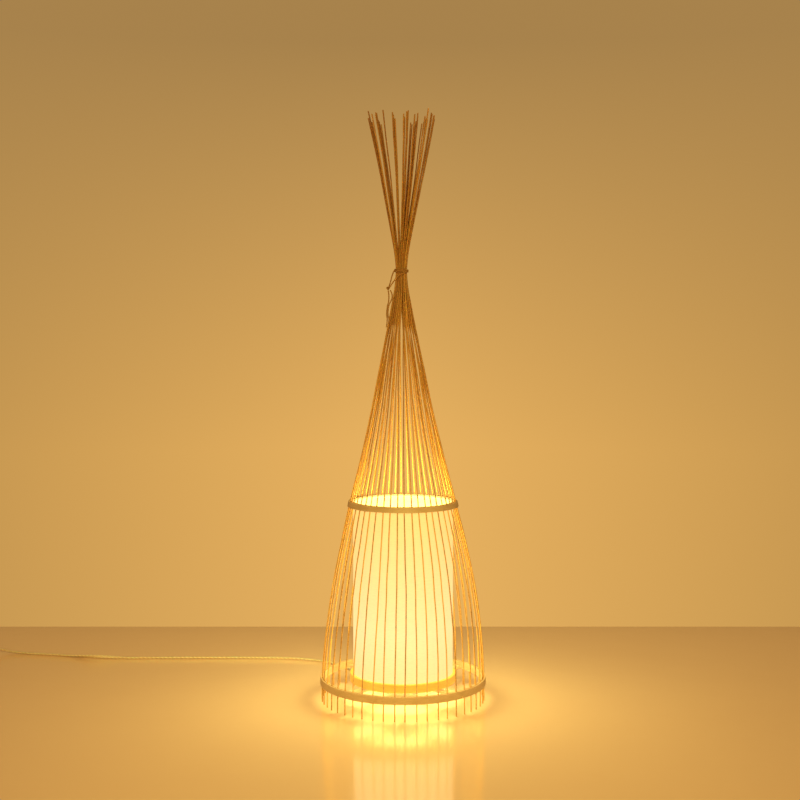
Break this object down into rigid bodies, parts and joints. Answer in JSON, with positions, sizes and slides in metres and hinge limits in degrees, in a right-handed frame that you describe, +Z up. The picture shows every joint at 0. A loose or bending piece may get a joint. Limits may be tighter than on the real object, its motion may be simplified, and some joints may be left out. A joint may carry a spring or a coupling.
{
  "type": "bamboo sheaf lamp",
  "caption": "Floor-standing sheaf of thin bamboo splints, held by hoops and tied at the neck, round a glowing cylindrical shade on crossed slats, with a mains cord.",
  "frame": {"origin": "on the axis of the lower hoop, at the level that the feet of the splints stand on", "axes": "+Z up along the lamp, -Y towards the front, +X to the right seen from the front; the cord leaves to the back left"},
  "size_m": [0.931, 0.426, 0.872],
  "materials": {
    "bamboo_splint": "natural bamboo splints, smooth with fine grain",
    "bamboo_strip": "split-bamboo hoop strip, matt with fine grain",
    "bamboo_slat": "split-bamboo slat, matt",
    "shade_ring": "bamboo strip, matt, lit through",
    "shade_skin": "translucent parchment skin, satin",
    "brass": "satin",
    "steel": "zinc-plated, satin",
    "holder_moulding": "off-white moulding, semi-gloss",
    "solder_tip": "soft solder, satin",
    "black_glass": "black glass, gloss",
    "bulb_cap": "rolled thread, satin",
    "bulb_glass": "frosted glass",
    "twine": "two-ply jute twine, matt",
    "cord_sleeve": "translucent pale sleeve, gloss",
    "switch_shell": "pale moulding, semi-gloss",
    "switch_key": "off-white moulding, gloss",
    "plug_moulding": "pale moulding, fine texture",
    "pin_metal": "nickel-plated, bright"
  },
  "bodies": {
    "lamp": {"splint_pair_01": "bamboo_splint", "splint_pair_02": "bamboo_splint", "splint_pair_03": "bamboo_splint", "splint_pair_04": "bamboo_splint", "splint_pair_05": "bamboo_splint", "splint_pair_06": "bamboo_splint", "splint_pair_07": "bamboo_splint", "splint_pair_08": "bamboo_splint", "splint_pair_09": "bamboo_splint", "splint_pair_10": "bamboo_splint", "splint_pair_11": "bamboo_splint", "splint_pair_12": "bamboo_splint", "splint_pair_13": "bamboo_splint", "splint_pair_14": "bamboo_splint", "splint_pair_15": "bamboo_splint", "splint_pair_16": "bamboo_splint", "splint_pair_17": "bamboo_splint", "splint_pair_18": "bamboo_splint", "splint_pair_19": "bamboo_splint", "splint_pair_20": "bamboo_splint", "splint_pair_21": "bamboo_splint", "splint_pair_22": "bamboo_splint", "splint_pair_23": "bamboo_splint", "splint_pair_24": "bamboo_splint", "lower_outer_strip": "bamboo_strip", "lower_inner_strip": "bamboo_strip", "upper_outer_strip": "bamboo_strip", "upper_inner_strip": "bamboo_strip", "cross_slat_a": "bamboo_slat", "cross_slat_b": "bamboo_slat", "slat_nails": "brass", "shade_skin": "shade_skin", "shade_top_wire": "steel", "shade_base_ring": "shade_ring", "ring_nails": "brass", "holder_plate": "steel", "plate_screws": "steel", "holder_nipple": "brass", "nipple_nuts": "brass", "holder_base": "holder_moulding", "holder_body": "holder_moulding", "holder_sleeve": "brass", "holder_contact": "brass", "neck_binding": "twine", "binding_knot": "twine", "twine_ends": "twine", "cord_gland": "cord_sleeve", "cord": "cord_sleeve", "cord_leads": "cord_sleeve", "cord_coil": "cord_sleeve", "switch_base": "switch_shell", "switch_cover": "switch_shell", "switch_screws": "steel", "plug_body": "plug_moulding", "plug_pins": "pin_metal"},
    "bulb_tip": {"bulb_tip": "solder_tip"},
    "bulb": {"bulb_insulator": "black_glass", "bulb_cap": "bulb_cap", "bulb_glass": "bulb_glass"},
    "rocker": {"switch_rocker": "switch_key"}
  },
  "joints": [
    {"name": "bulb_lift", "type": "slide", "parent": "lamp", "child": "bulb_tip", "axis": [0, 0, 1], "range_m": [0, 0.0145]},
    {"name": "bulb_turn", "type": "hinge", "parent": "bulb_tip", "child": "bulb", "pos_m": [0, 0, 0.07], "axis": [0, 0, 1], "range_deg": [0, 1440]},
    {"name": "switch_rock", "type": "hinge", "parent": "lamp", "child": "rocker", "pos_m": [-0.74, 0.29, 0.0118], "axis": [0, 1, 0], "range_deg": [0, 14]}
  ],
  "couplings": [
    {"joint": "bulb_lift", "follows": "bulb_turn", "m_per_rad": 0.000576}
  ]
}
